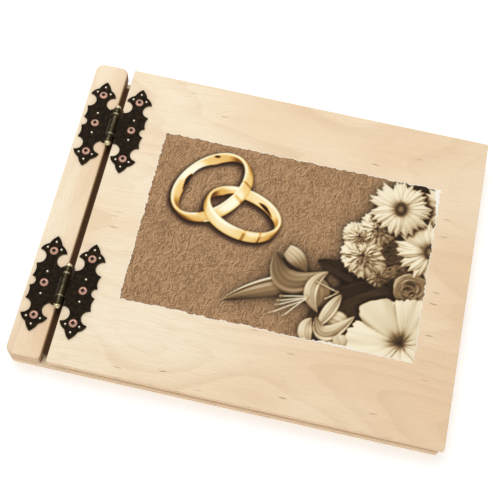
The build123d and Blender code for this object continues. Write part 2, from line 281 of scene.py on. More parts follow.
class Finish:
    """A material under construction, in millimetres of the book's own frame."""

    def __init__(self, name):
        self.material = bpy.data.materials.new(name)
        self.material.use_nodes = True
        self.tree = self.material.node_tree
        self.tree.nodes.clear()
        place = self.node("ShaderNodeTexCoord", output="Object")
        self.place = self.scaled(place, 1000, 1000, 1000)
        self.x, self.y, self.z = self.parts(self.place)
        facing = self.node("ShaderNodeTexCoord", output="Normal")
        self.facing_x, self.facing_y, self.facing_z = self.parts(facing)

    def node(self, kind, settings=None, inputs=None, output=0):
        """Adds a node with its settings and its inputs, which are values or signals."""
        node = self.tree.nodes.new(kind)
        for key, value in (settings or {}).items():
            if key == "stops":
                self.set_stops(node.color_ramp, value)
            else:
                setattr(node, key, value)
        for key, value in (inputs or {}).items():
            if isinstance(value, Signal):
                self.tree.links.new(value.socket, node.inputs[key])
            elif node.inputs[key].type == "RGBA":
                node.inputs[key].default_value = (*value[:3], 1.0)
            else:
                node.inputs[key].default_value = value
        return Signal(self, node.outputs[output]) if len(node.outputs) else node

    @staticmethod
    def set_stops(ramp, stops):
        while len(ramp.elements) < len(stops):
            ramp.elements.new(1.0)
        for element, (position, colour) in zip(ramp.elements, stops):
            element.position = position
            element.color = (*colour[:3], 1.0)

    def parts(self, vector):
        """The three parts of a vector or a colour."""
        first = self.node("ShaderNodeSeparateXYZ", inputs={0: vector})
        outputs = first.socket.node.outputs
        return [Signal(self, output) for output in outputs]

    def vector(self, x, y, z):
        return self.node("ShaderNodeCombineXYZ", inputs={0: x, 1: y, 2: z})

    def scaled(self, vector, x, y, z):
        inputs = {0: vector, 1: (x, y, z)}
        return self.node("ShaderNodeVectorMath", {"operation": "MULTIPLY"}, inputs)

    def moved(self, vector, shift):
        return self.node("ShaderNodeVectorMath", {"operation": "ADD"}, {0: vector, 1: shift})

    def noise(self, vector, stretch, detail, roughness, distortion=0.0):
        """Cloudy noise with so many lumps a millimetre along each axis."""
        inputs = {
            "Vector": self.scaled(vector, *stretch),
            "Scale": 1.0,
            "Detail": detail,
            "Roughness": roughness,
            "Distortion": distortion,
        }
        return self.node("ShaderNodeTexNoise", {"noise_dimensions": "3D"}, inputs)

    def cells(self, vector, output="Distance", feature="F1", randomness=1.0):
        settings = {"voronoi_dimensions": "3D", "feature": feature}
        inputs = {"Vector": vector, "Scale": 1.0, "Randomness": randomness}
        return self.node("ShaderNodeTexVoronoi", settings, inputs, output)

    def mix(self, mask, first, second, mode="MIX"):
        settings = {"data_type": "RGBA", "blend_type": mode}
        return self.node("ShaderNodeMix", settings, {0: mask, 6: first, 7: second}, 2)

    def bump(self, height, depth, strength=1.0):
        """A normal from a height of 0 to 1 that stands for a depth in millimetres."""
        inputs = {"Strength": strength, "Distance": depth * MM, "Height": height}
        return self.node("ShaderNodeBump", None, inputs)

    def done(self, **inputs):
        """The finished material; inputs are the shader's, named in lower case."""
        names = {name.replace("_", " ").title(): value for name, value in inputs.items()}
        names = {name.replace("Ior", "IOR"): value for name, value in names.items()}
        shader = self.node("ShaderNodeBsdfPrincipled", None, names)
        self.node("ShaderNodeOutputMaterial", None, {"Surface": shader})
        return self.material


def dress(material, *nodes):
    """Gives CAD nodes a material, in place of their plain one."""
    for name in nodes:
        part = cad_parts[name]
        for slot in part.material_slots:
            slot.material = material
        if not part.material_slots:
            part.data.materials.append(material)


def hinge_middles():
    """The middle of each hinge's pin, in millimetres."""
    return [sum(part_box(f"{end}_hinge_pin"), Vector()) / 2 / MM for end in ("tail", "head")]


def face_veneer(finish, wood, grain, outward, flecks):
    """Rotary-cut face veneer with growth lines and pith flecks: its colour and height."""
    across = finish.parts(grain)[1]
    clouds = finish.noise(grain, (0.0085, 0.016, 0.016), 2.0, 0.5)
    contour = finish.noise(grain, (0.0042, 0.0125, 0.0125), 1.5, 0.45, 0.3)
    waver = finish.noise(grain, (0.03, 0.12, 0.12), 2.0, 0.5)
    rings = (across * 0.03 + contour * 12 + waver * 0.35).fraction()
    late_wood = rings.step(0.4, 0.95) * rings.step(1.0, 0.96)
    fibres = finish.noise(grain, (0.05, 2.4, 2.4), 4.0, 0.62)
    pores = finish.noise(grain, (0.22, 5.2, 5.2), 2.0, 0.5)

    warmth = clouds.step(0.34, 0.66) * 0.5 + outward.step(0.15, 1.0) * 0.5
    face = finish.mix(warmth, wood.pale, wood.warm)
    face = finish.mix(late_wood * clouds.step(0.2, 0.7) * 0.4, face, wood.line)
    face = finish.mix(fibres.step(0.44, 0.74) * 0.5, face, wood.line)
    face = finish.mix(pores.step(0.6, 0.74) * 0.24, face, wood.fleck)

    bent = finish.moved(finish.scaled(grain, 0.034, 0.115, 0.0), (4.3, 0.7, 0.0))
    wobble = finish.noise(grain, (0.09, 0.09, 0.0), 1.0, 0.5)
    bent = finish.moved(bent, finish.vector(0.0, wobble * 0.32, 0.0))
    spots = finish.cells(bent)
    chance = finish.parts(finish.cells(bent, "Color"))[0]
    here = chance.step(1.0 - flecks, 1.02 - flecks)
    inputs = {0: bent, 1: finish.cells(bent, "Position")}
    offset = finish.node("ShaderNodeVectorMath", {"operation": "SUBTRACT"}, inputs)
    spot_along, spot_across, _ = finish.parts(offset)
    reach = (spot_along * 7.0) ** 2.0 + (spot_across * 17.0) ** 2.0
    ragged = finish.noise(grain, (0.5, 2.6, 0.0), 2.0, 0.6)
    fleck = (reach + ragged * 0.9).step(1.35, 0.5) * here
    face = finish.mix(fleck * 0.75 * spots.step(0.9, 0.0), face, wood.fleck)
    return face, fibres * 0.5 + pores * 0.3 - late_wood * 0.15 - fleck * 0.4, fibres, late_wood


def ply_edge(finish, wood, foot):
    """Edge of the plywood: plies by turns along and across, glue lines, voids and knots."""
    layer = ((finish.z - foot) / (wood.ply_thickness / MM) * math.pi).sin()
    streaks = finish.noise(finish.place, (0.12, 0.12, 3.4), 3.0, 0.6)
    ends = finish.noise(finish.place, (2.2, 2.2, 3.6), 3.0, 0.6)
    edge = finish.mix(layer.step(-0.22, 0.22), wood.cross_ply, wood.ply)
    edge = finish.mix(streaks.step(0.48, 0.75) * 0.5, edge, wood.cross_ply)
    edge = finish.mix(ends.step(0.58, 0.72) * 0.32, edge, wood.fleck)
    glue = abs(layer).step(0.16, 0.02)
    edge = finish.mix(glue * 0.35, edge, wood.fleck)
    voids = finish.noise(finish.place, (0.075, 0.075, 0.8), 2.0, 0.5)
    knots = finish.noise(finish.place, (0.11, 0.11, 1.1), 1.0, 0.5)
    edge = finish.mix(voids.step(0.66, 0.69) * 0.8, edge, wood.knot)
    return finish.mix(knots.step(0.7, 0.73) * 0.6, edge, wood.knot)


def painted_slot_shade(finish, wood, colour, top, slot_side):
    """Painted shade on the wall of the slot, and a darker painted shade on the wood under the barrels over
    it.
    """
    # The strip's wall runs from the darker painted slot shade low down to the paler one at its top; the
    # cover's wall takes the darker one.
    inner = (finish.facing_x * slot_side).step(0.45, 0.85)
    wall_shade = finish.mix(finish.z.step(top - 7, top), wood.slot, wood.slot_light)
    colour = finish.mix(inner * 0.85, colour, wall_shade if slot_side > 0 else wood.slot)
    half_width, half_length = BARREL_SHADE
    for middle in hinge_middles():
        beside = abs(finish.y - middle.y).step(half_length + 0.4, half_length - 0.4)
        under = abs(finish.x - middle.x).step(half_width + 0.3, half_width - 0.3) * beside
        colour = finish.mix(under * 0.95, colour, wood.barrel_shade)
    return colour


def birch(name, wood, along_x, shift, flecks, slot_side):
    """Birch plywood: rotary-cut face veneer above and below, plies in the edges."""
    low, high = (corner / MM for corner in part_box(name))
    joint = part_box("spine_strip")[0].z / MM
    finish = Finish(f"birch_{name}")
    x, y, z = finish.x, finish.y, finish.z
    grain = finish.vector(x, y, z) if along_x else finish.vector(y, x, z)
    grain = finish.moved(grain, shift)
    outward = (x - low.x) / (high.x - low.x)
    face, height, fibres, late_wood = face_veneer(finish, wood, grain, outward, flecks)
    edge = ply_edge(finish, wood, low.z)
    side = abs(finish.facing_z).step(0.72, 0.4)
    if name == "spine_strip":
        edge = finish.mix(abs(finish.facing_y).step(0.3, 0.8) * 0.6, edge, wood.end_grain)
    colour = finish.mix(side, face, edge)
    if name != "front_cover":
        # Painted shade in the crease where strip and back board meet: a dark line on the edges at the
        # joint's height.
        seam = abs(z - joint).step(0.75, 0.2) * side
        colour = finish.mix(seam * 0.8, colour, wood.slot)
    if slot_side:
        colour = painted_slot_shade(finish, wood, colour, high.z, slot_side)
    return finish.done(
        base_color=colour,
        roughness=0.5 + fibres * 0.16 - late_wood * 0.05 + side * 0.14,
        normal=finish.bump(height, 0.05),
        specular_ior_level=0.35,
    )


def black_bronze(name, hinges):
    """Cast leaf with an antique finish, rubbed bright on edges, studs and barrel, with painted highlights
    on the stud tips and on the knuckle edges at each gap.
    """
    finish = Finish(name)
    middles = hinge_middles()
    top_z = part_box("front_cover")[1].z / MM + LEAF_THICKNESS
    patches = finish.noise(finish.place, (0.32, 0.32, 0.32), 3.0, 0.6)
    grit = finish.noise(finish.place, (3.2, 3.2, 3.2), 3.0, 0.6)
    hammer = finish.cells(finish.scaled(finish.place, 0.75, 0.75, 0.75), feature="SMOOTH_F1")
    off_axis = abs(finish.x - middles[0].x)
    barrel = off_axis.step(3.6, 2.9) * finish.z.step(top_z - 0.3, top_z + 0.5)
    # The stud tips: polished metal whose light colour is also a painted highlight.
    stud_polish_and_glint = finish.z.step(top_z + 0.4, top_z + 0.62) * (1 - barrel) * off_axis.step(3.0, 3.6)
    lean = finish.facing_z.step(0.96, 0.7) * finish.facing_z.step(0.05, 0.35)
    above = finish.z.step(top_z - 0.5, top_z - 0.05)
    chipped = (patches * 0.7 + grit * 0.6).step(0.5, 0.82)
    worn = lean * above * (0.12 + chipped * 0.6) * (1 - barrel)
    rims = barrel * abs(finish.facing_y).step(0.25, 0.5) * (0.35 + chipped * 0.6)
    # Painted highlight: a bright brass line on the upward faces of the knuckle edges at each gap, joined
    # to the rubbed rims.
    for middle in middles:
        from_gap = abs(abs(finish.y - middle.y) - KNUCKLE_GAP)
        lit = from_gap.step(0.8, 0.2) * finish.facing_z.step(0.3, 0.9)
        rims = rims.higher(barrel * lit * 0.4)
    # Brass on the barrel's chipped top, on the rubbed rims and in the painted knuckle highlights.
    crest = (barrel * chipped * finish.facing_z.step(0.9, 1.0) * 0.14).higher(rims)
    dust = (grit * patches).step(0.3, 0.46) * 0.05

    colour = finish.mix(patches.step(0.35, 0.7), hinges.bronze, hinges.patina)
    colour = finish.mix(barrel * (0.45 + chipped * 0.5), colour, hinges.barrel)
    colour = finish.mix(worn.higher(dust), colour, hinges.worn)
    colour = finish.mix(crest, colour, hinges.brass)
    colour = finish.mix(stud_polish_and_glint, colour, hinges.stud_polish_and_glint)
    return finish.done(
        base_color=colour,
        metallic=0.88 + (worn + stud_polish_and_glint).lower(1.0) * 0.12,
        roughness=0.44 - worn * 0.15 - barrel * 0.1 + grit * 0.14 - stud_polish_and_glint * 0.22,
        normal=finish.bump(hammer * 0.6 + grit * 0.4, 0.05),
        specular_ior_level=0.3,
    )


def aged_brass(name, hinges, shine):
    """Turned brass with green-brown tarnish in its low places; its upward faces are bright brass, partly
    rubbed wear and partly a painted highlight.
    """
    finish = Finish(name)
    tarnish = finish.noise(finish.place, (0.9, 0.35, 0.9), 4.0, 0.65)
    turning = finish.noise(finish.place, (0.4, 9.0, 0.4), 2.0, 0.5)
    colour = finish.mix(tarnish.step(0.38, 0.66), hinges.worn, hinges.barrel)
    # Upward faces turn bright brass: partly rubbed wear, partly a painted highlight.
    rubbed = finish.facing_z.step(-0.2, 0.6)
    colour = finish.mix(rubbed * shine, colour, hinges.brass)
    return finish.done(
        base_color=colour,
        metallic=0.95,
        roughness=0.16 + tarnish * 0.2 + turning * 0.08,
        normal=finish.bump(turning * 0.5 + tarnish * 0.5, 0.02),
    )


def copper_plate(name, hinges, node):
    """Copper-plated screws in a row: painted shade in the cross, over the head's middle and towards its
    rim, bright on the dome between.
    """
    low, high = (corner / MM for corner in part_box(node))
    middle = (low + high) / 2
    reach = (high.x - low.x) / 2
    pitch = (high.y - low.y) / 2 - reach
    finish = Finish(name)
    tarnish = finish.noise(finish.place, (0.8, 0.8, 0.8), 4.0, 0.6)
    scratches = finish.noise(finish.place, (0.7, 7.0, 2.0), 3.0, 0.6)
    turns = (finish.y - middle.y) / pitch + 0.5
    off_y = (turns.fraction() - 0.5) * pitch
    off_centre = ((finish.x - middle.x) ** 2.0 + off_y ** 2.0) ** 0.5
    # Painted shade: the cross recess, its steep walls and the middle of the head go dark, and the copper
    # darkens towards the head's rim.
    deep = finish.z.step(high.z - 0.25, high.z - 0.5) * off_centre.step(reach * 0.8, reach * 0.6)
    wall = finish.facing_z.step(0.6, 0.2)
    core = off_centre.step(reach * 0.58, reach * 0.38)
    rim = off_centre.step(reach * 0.72, reach)
    colour = finish.mix(tarnish.step(0.4, 0.7) * 0.5, hinges.copper, hinges.copper_dull)
    colour = finish.mix(rim * 0.55, colour, hinges.copper_rim_shade)
    colour = finish.mix((deep * 0.9).higher(wall * 0.85).higher(core * 0.92), colour, hinges.recess)
    return finish.done(
        base_color=colour,
        metallic=0.9 - core * 0.3,
        roughness=0.24 + tarnish * 0.18 + scratches * 0.1 + core * 0.3,
        normal=finish.bump(scratches * 0.5 + tarnish * 0.5, 0.02),
    )


def zinc_steel(name, pages):
    """Bright zinc plating with its crystalline patches."""
    finish = Finish(name)
    spangle = finish.cells(finish.scaled(finish.place, 0.9, 0.9, 0.9), "Color")
    patch = finish.parts(spangle)[0]
    dull = finish.noise(finish.place, (0.5, 0.5, 0.5), 4.0, 0.6)
    colour = patch.ramp((0.0, pages.zinc), (1.0, pages.zinc_light))
    colour = finish.mix(dull.step(0.5, 0.75) * 0.5, colour, pages.zinc_dull)
    return finish.done(
        base_color=colour,
        metallic=1.0,
        roughness=0.3 + dull * 0.25,
        normal=finish.bump(dull, 0.03),
    )


def slot_reach():
    """Middle and half width of the slot between strip and cover, in millimetres."""
    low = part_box("spine_strip")[1].x / MM
    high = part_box("front_cover")[0].x / MM
    return (low + high) / 2, (high - low) / 2


def sheet_paper(name, pages, is_card, block=None, count=1):
    """Paper or card: fibres on the faces; a block also shows each sheet in its edges, as lines of painted
    shade in the gaps between sheets.

    Sheets that turn bring their own masks for the edges and for the slot.
    """
    colour, flecks = (pages.kraft, 0.55) if is_card else (pages.paper, 0.12)
    finish = Finish(name)
    fibre = finish.noise(finish.place, (0.9, 0.9, 0.9), 5.0, 0.7, 0.8)
    cloud = finish.noise(finish.place, (0.045, 0.045, 0.045), 3.0, 0.55)
    strands = finish.noise(finish.place, (0.35, 1.9, 1.0), 3.0, 0.6, 1.6)
    dark = tuple(c * 0.6 for c in colour)
    light = tuple(min(1.0, c * 1.08) for c in colour)
    body = finish.mix(cloud.step(0.3, 0.75) * (0.3 + flecks), colour, light)
    body = finish.mix(fibre.step(0.5, 0.74) * (0.16 + flecks * 0.3), body, dark)
    body = finish.mix(strands.step(0.68, 0.76) * flecks, body, dark)
    body = finish.mix(strands.step(0.36, 0.28) * flecks * 0.8, body, light)
    if block:
        low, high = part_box(block)
        middle, reach = slot_reach()
        side = abs(finish.facing_z).step(0.6, 0.3)
        slot = abs(finish.x - middle).step(reach + 0.6, reach - 1.0)
        sheet = ((finish.z - low.z / MM) / ((high.z - low.z) / MM / count)).fraction()
        seam = abs(sheet - 0.5).step(0.36, 0.5) * side
    else:
        side, slot = (
            finish.node("ShaderNodeAttribute", {"attribute_name": key}, output="Fac")
            for key in ("edge", "slot")
        )
        seam = side * 0.4
    # Painted shade: lines in the gaps between a block's sheets, and the whole edges of sheets that turn,
    # go darker.
    body = finish.mix(seam * 0.7, body, dark)
    body = finish.mix(slot * (0.75 if is_card else side * 0.8), body, pages.slot)
    return finish.done(
        base_color=body,
        roughness=0.72 + fibre * 0.16,
        normal=finish.bump(fibre * 0.7 + strands * 0.3, 0.04),
        specular_ior_level=0.25,
    )


# Meshes ----------------------------------------------------------------------


def solid(name, points, faces, material):
    """A new flat-shaded piece from its points and faces, with its material slot."""
    mesh = bpy.data.meshes.new(name)
    mesh.from_pydata([tuple(point) for point in points], [], faces)
    mesh.validate()
    mesh.update()
    mesh.materials.append(material)
    mesh.polygons.foreach_set("use_smooth", [False] * len(mesh.polygons))
    piece = bpy.data.objects.new(name, mesh)
    bpy.context.scene.collection.objects.link(piece)
    return piece


def grid(index):
    """Faces over a grid of point numbers, and the numbers round its border."""
    quads = np.stack([index[:-1, :-1], index[1:, :-1], index[1:, 1:], index[:-1, 1:]], -1)
    rim = np.concatenate([index[:-1, 0], index[-1, :-1], index[:0:-1, -1], index[0, :0:-1]])
    return quads.reshape(-1, 4), rim


def skirt(upper, lower):
    """Faces that join two rings of point numbers."""
    return np.stack([upper, lower, np.roll(lower, -1), np.roll(upper, -1)], -1).tolist()


def slab(columns, rows, low, high, lift):
    """Points and faces of one thin closed sheet on a grid of places.

    columns and rows are the places along X and Y, low and high the heights of its
    two faces, and lift(x, y) the sheet's own small rise.
    """
    across, up = np.meshgrid(columns, rows, indexing="ij")
    rise = lift(across, up)
    sides = [np.stack([across, up, np.full_like(across, z) + rise], -1) for z in (high, low)]
    points = np.concatenate([side.reshape(-1, 3) for side in sides])
    count, width = len(rows), len(columns)
    below = count * width
    quads, rim = grid(np.arange(below).reshape(width, count))
    return points, quads.tolist() + (quads[:, ::-1] + below).tolist() + skirt(rim, rim + below)


def sheets(name, leaf, material, slot, seed, count=1, gap=0.0, unevenness=0.0):
    """A stack of separate sheets in a CAD leaf's place, with closer points near its crease.

    The leaf's node and its body have the same name.
    """
    low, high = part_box(leaf)
    random = np.random.default_rng(seed)
    crease = low.x
    bend = np.arange(BEND_LENGTH + 3) * MM + crease
    free = np.linspace(bend[-1], high.x, 20)[1:] - bend[-1]
    pitch = (high.z - low.z + gap) / count
    swell = gap * 0.3
    points, faces, edges = [], [], []
    for number in range(count):
        back = random.uniform(0.0, unevenness, 3)
        share = (high.x - back[0] - bend[-1]) / (high.x - bend[-1])
        columns = np.concatenate([bend, bend[-1] + free * share])
        rows = np.linspace(low.y + back[1], high.y - back[2], 15)
        phase = random.uniform(0.0, TURN)

        def lift(x, y):
            slack = np.clip((x - crease) / (high.x - crease), 0.0, 1.0)
            return -swell * slack * (1 + np.sin(y * 42 + phase + x * 18))

        foot = low.z + pitch * number
        sheet_points, sheet_faces = slab(columns, rows, foot + swell * 2, foot + pitch - gap, lift)
        start = sum(len(group) for group in points)
        points.append(sheet_points)
        faces += [[corner + start for corner in face] for face in sheet_faces]
        flat = 2 * (len(columns) - 1) * (len(rows) - 1)
        edges += [0.0] * flat + [1.0] * (len(sheet_faces) - flat)
    points = np.concatenate(points)
    piece = solid(name, points, faces, material)
    middle, reach = slot_reach()
    off = np.abs(points[:, 0] / MM - middle)
    piece.data.attributes.new("edge", "FLOAT", "FACE").data.foreach_set("value", edges)
    shade = piece.data.attributes.new("slot", "FLOAT", "POINT")
    shade.data.foreach_set("value", 1 - smooth(off, reach - 1.0, reach + 0.6))
    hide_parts(leaf)
    start = Vector((crease, 0.0, (low.z + high.z) / 2))
    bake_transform(piece)
    return piece


# The picture on the print ----------------------------------------------------

FIELDS = ("tone", "bloom", "gold", "ground", "halo")


def smooth(value, start, end):
    """0 before start, 1 past end, smooth between."""
    share = np.clip((value - start) / (end - start), 0.0, 1.0)
    return share * share * (3 - 2 * share)


def wrapped(angle):
    """An angle brought to within half a turn of zero."""
    return (angle + math.pi) % TURN - math.pi


def softened(field, spread):
    """A field blurred by a number of raster steps."""
    rows, columns = (np.fft.fftfreq(count) for count in field.shape)
    falloff = np.exp(-2 * (math.pi * spread) ** 2 * (rows[:, None] ** 2 + columns[None] ** 2))
    return np.fft.ifft2(np.fft.fft2(field) * falloff).real


class StillLife:
    """Rings and flowers laid out in relief, then shaded into the tones of a picture.

    Lengths are millimetres on the print, from its middle; heights only order what
    lies over what, and shade it.
    """

    LIGHT = np.array([-0.42, 0.5, 0.757])
    MARGIN = 12.0

    def __init__(self, width, depth, pitch=0.25):
        self.pitch = pitch
        self.columns = int((width + 2 * self.MARGIN) / pitch)
        self.rows = int((depth + 2 * self.MARGIN) / pitch)
        self.height = np.zeros((self.rows, self.columns))
        self.tone = np.zeros_like(self.height)
        self.bloom = np.zeros_like(self.height)
        self.gold = np.zeros_like(self.height)

    def lay(self, x, y, z, tone, gold=0.0):
        """Places a surface's points where they are higher than what is there."""
        column = np.rint(x / self.pitch + self.columns / 2).astype(int)
        row = np.rint(y / self.pitch + self.rows / 2).astype(int)
        inside = (column >= 0) & (column < self.columns) & (row >= 0) & (row < self.rows)
        spot = (row * self.columns + column)[inside]
        order = np.argsort(z[inside])
        spot, z, tone = spot[order], z[inside][order], tone[inside][order]
        top = np.full(self.height.size, -1e9)
        top[spot] = z
        shown = np.zeros(self.height.size)
        shown[spot] = tone
        above = (top > self.height.ravel()).reshape(self.height.shape)
        self.height[above] = top.reshape(self.height.shape)[above]
        self.tone[above] = shown.reshape(self.height.shape)[above]
        self.bloom[above] = 1.0 - gold
        self.gold[above] = gold

    def facing(self, x, y, z):
        """Unit normals of a surface given on a grid, turned towards the viewer."""
        along = np.stack([np.gradient(c, axis=0) for c in (x, y, z)], -1)
        across = np.stack([np.gradient(c, axis=1) for c in (x, y, z)], -1)
        normal = np.cross(along, across)
        normal /= np.linalg.norm(normal, axis=-1, keepdims=True) + 1e-9
        return normal * np.where(normal[..., 2:] < 0, -1.0, 1.0)

    def petal(self, x, y, z, shade, contrast=0.75):
        """A matt surface, lit from the upper left."""
        lit = np.clip(self.facing(x, y, z) @ self.LIGHT, 0.0, 1.0)
        self.lay(x, y, z, shade * (1 - contrast + contrast * lit * 1.12))

    def placed(self, along, across, foot, angle):
        """A petal's own lengths turned to an angle about its foot."""
        c, s = math.cos(angle), math.sin(angle)
        return foot[0] + along * c - across * s, foot[1] + along * s + across * c

    def strip(self, length, width, samples=4.0):
        """Shares along (0 to 1) and across (-1 to 1), with so many samples a raster step."""
        rows = int(length / self.pitch * samples) + 8
        columns = int(width / self.pitch * samples) + 8
        return np.meshgrid(np.linspace(0, 1, rows), np.linspace(-1, 1, columns), indexing="ij")

    def daisy(self, middle, radius, lean, height, random, shade, petals=18):
        """Two rounds of long ribbed petals about a domed eye; lean squashes it."""
        for layer, reach in ((0, 1.0), (1, 0.9)):
            for number in range(petals):
                angle = TURN * (number + 0.5 * layer) / petals + random.uniform(-0.09, 0.09)
                length = radius * reach * random.uniform(0.9, 1.04)
                width = radius * random.uniform(0.125, 0.16)
                u, v = self.strip(length, 2 * width)
                form = np.clip(u / 0.34, 0, 1) ** 0.65 * (1 - smooth(u, 0.66, 1.04)) ** 0.7
                notch = 1 - (0.05 * v * v + 0.03 * np.abs(np.sin(v * 4.4))) * (u > 0.5)
                twist = random.uniform(-0.5, 0.5)
                along = length * u * notch
                across = v * width * form + twist * width * np.sin(u * 2.4)
                rise = (1.6 * np.sin(u * 2.5) - 1.1 * u * u * 2 + 0.5 * layer
                        - 0.35 * width * v * v + 0.09 * np.cos(v * 9.0)) * radius / 22
                rise = rise + random.uniform(0.0, 0.8) + v * random.uniform(-0.5, 0.5)
                x, y = self.placed(along, across, (0.0, 0.0), angle)
                tone = shade * (0.62 + 0.38 * smooth(u, 0.12, 0.5)) - 0.05 * np.cos(v * 9.0) ** 2
                self.petal(middle[0] + x, middle[1] + y * lean, height + rise, tone, 0.62)
        eye = radius * 0.225
        u, v = self.strip(eye, eye * 7)
        angle = v * math.pi
        grain = np.sin(u * 26 + 5 * angle) * np.sin(angle * 23 + u * 9)
        tone = 0.5 - 0.32 * smooth(u, 0.15, 0.62) + 0.3 * smooth(u, 0.72, 0.96) + 0.1 * grain
        x, y = 0.86 * eye * u * np.cos(angle), 1.12 * eye * u * np.sin(angle) * lean
        dome = 2.6 + 2.0 * np.cos(u * 1.5) + 0.25 * grain
        self.petal(middle[0] + x, middle[1] + y, height + dome, tone, 0.5)

    def pompon(self, middle, radius, height, random, shade, fringe=6):
        """Rounds of short fan petals with a fringed, ruffled edge."""
        for layer in range(5):
            reach = 1.0 - layer * 0.19
            count = 8 - layer
            for number in range(count):
                angle = TURN * number / count + random.uniform(-0.25, 0.25) + layer
                length = radius * reach * random.uniform(0.86, 1.06)
                spread = random.uniform(0.42, 0.62)
                u, v = self.strip(length, 2 * length * spread)
                teeth = 1 - 0.09 * np.abs(np.sin(v * fringe + number)) - 0.05 * v * v
                turn = angle + v * spread * (0.5 + 0.5 * u)
                out = length * (0.12 + 0.88 * u) * teeth
                ruffle = np.sin(v * random.uniform(5, 8) + random.uniform(0, 6)) * u * u
                z = height + layer * 1.25 + 1.7 * np.sin(u * 2.6) + 0.9 * ruffle - 1.5 * u ** 3
                tone = shade * (0.4 + 0.6 * smooth(u, 0.1, 0.8)) - 0.08 * np.abs(np.sin(v * 9.0)) * (1 - u)
                self.petal(middle[0] + out * np.cos(turn), middle[1] + out * np.sin(turn), z, tone, 0.8)

    def trumpet(self, middle, radius, height, random, shade, turn, lobes=5, throat=0.55):
        """One wide bloom of ruffled lobes about a dark throat, like a petunia."""
        u, v = self.strip(radius, radius * 8, 3.2)
        angle = v * math.pi
        uneven = angle + 0.2 * np.sin(2 * angle + random.uniform(0, TURN))
        swell = np.abs(np.sin((uneven - turn) * lobes / 2))
        waver = np.zeros_like(angle)
        for waves in (2, 3, 7, 11, 16, 23):
            waver += np.sin(angle * waves + random.uniform(0, TURN)) / waves ** 0.5
        folds = angle + 0.16 * np.sin(5 * angle + random.uniform(0, TURN))
        frill = sum(np.abs(np.sin(folds * waves + random.uniform(0, TURN))) for waves in (4.5, 7.5, 15.5))
        edge = radius * (0.66 + 0.27 * swell ** 0.55 + 0.035 * waver + 0.045 * frill
                         + 0.1 * np.cos(angle - turn - 0.6))
        out = edge * u
        crumple = np.zeros_like(angle)
        for waves in (3, 5, 8, 13, 21):
            bend = random.uniform(-3.0, 3.0) * u
            crumple += np.sin(angle * waves + bend + random.uniform(0, TURN)) / waves ** 0.7
        overlap = ((uneven - turn) * lobes / TURN) % 1.0 - 0.5
        rise = (-4.5 * np.exp(-((u / 0.16) ** 2)) + 2.4 * np.sin(u * 2.1)
                + 1.9 * crumple * u ** 2.6 + 3.2 * overlap * u ** 1.3 - 1.2 * (2 * overlap) ** 6 * u)
        veins = np.abs(np.sin((angle - turn) * lobes * 1.5 + 0.5 * waver)) ** 10
        tone = shade - throat * np.exp(-((u / 0.085) ** 2)) - 0.34 * veins * (1 - smooth(u, 0.1, 0.42))
        tone = tone + 0.05 * crumple * smooth(u, 0.4, 1.0) - 0.12 * (1 - smooth(u, 0.05, 0.5))
        self.petal(middle[0] + out * np.cos(angle), middle[1] + out * np.sin(angle) * 0.94,
                   height + rise, tone, 0.8)

    def rose(self, middle, radius, height, random, shade):
        """Cupped petals wound round each other, each with a curled light rim."""
        for layer in range(8):
            reach = radius * (1.0 - 0.105 * layer)
            for number in range(3):
                angle = layer * 1.15 + TURN * number / 3 + random.uniform(-0.2, 0.2)
                u, v = self.strip(reach, reach * 3)
                turn = angle + v * 1.25
                out = reach * (0.28 + 0.72 * u * (1 - 0.1 * v * v)) * (1 - 0.06 * np.abs(v) ** 3)
                z = height + layer * 1.2 + 3.4 * u - 4.2 * smooth(u, 0.82, 1.0) - 1.2 * v * v
                tone = shade * (0.42 + 0.46 * u + 0.2 * smooth(u, 0.82, 0.94))
                sway, way = 0.035 * radius * layer, layer * 1.3 + 2
                x = middle[0] + sway * math.cos(way) + out * np.cos(turn)
                y = middle[1] + sway * math.sin(way) + out * np.sin(turn) * 0.9
                self.petal(x, y, z, tone, 0.7)

    def leaf(self, foot, tip, half_width, height, shade, bow, rise=3.0, ribs=7):
        """A long pointed leaf or sepal with a folded midrib and parallel veins."""
        dx, dy = tip[0] - foot[0], tip[1] - foot[1]
        length = math.hypot(dx, dy)
        u, v = self.strip(length, 2 * half_width)
        form = np.sin(np.clip(u, 0, 1) ** 0.75 * math.pi) ** 0.8
        across = v * half_width * form + bow * np.sin(u * math.pi)
        fold = 0.42 * half_width * np.abs(v) ** 0.8
        lift = rise * np.sin(u * math.pi) + fold + 0.05 * np.sin(v * ribs * 3)
        x, y = self.placed(length * u, across, foot, math.atan2(dy, dx))
        tone = shade * (0.86 + 0.14 * np.cos(v * ribs * math.pi) + 0.5 * np.exp(-((v / 0.06) ** 2)))
        self.petal(x, y, height + lift, tone, 0.8)

    def blade(self, start, middle, end, half_width, height, shade, roll, span, blunt=0.7):
        """A petal along a bent midline; its rolled edge is on the left, or right if below 0."""
        length = math.dist(start, middle) + math.dist(middle, end)
        u, v = self.strip(length, 2 * half_width, 4.5)
        x, y = ((1 - u) ** 2 * a + 2 * u * (1 - u) * b + u * u * c for a, b, c in zip(start, middle, end))
        run_x, run_y = (2 * (1 - u) * (b - a) + 2 * u * (c - b) for a, b, c in zip(start, middle, end))
        run = np.hypot(run_x, run_y) + 1e-6
        across = v * half_width * np.sin(np.clip(u * span, 0.0, 1.0) * math.pi) ** blunt
        side = v * np.sign(roll)
        curl = 7 * abs(roll) * smooth(side, 0.5, 0.9)
        rise = 2.4 * np.sin(u * math.pi) - 0.3 * half_width * v * v + curl
        tone = shade * (0.8 + 0.2 * smooth(u, 0.1, 0.6) - 0.06 * np.cos(v * 13))
        tone = tone + abs(roll) * smooth(side, 0.7, 0.92) - 0.1 * np.exp(-((v / 0.08) ** 2)) * shade
        self.petal(x - run_y / run * across, y + run_x / run * across, height + rise, tone, 0.8)

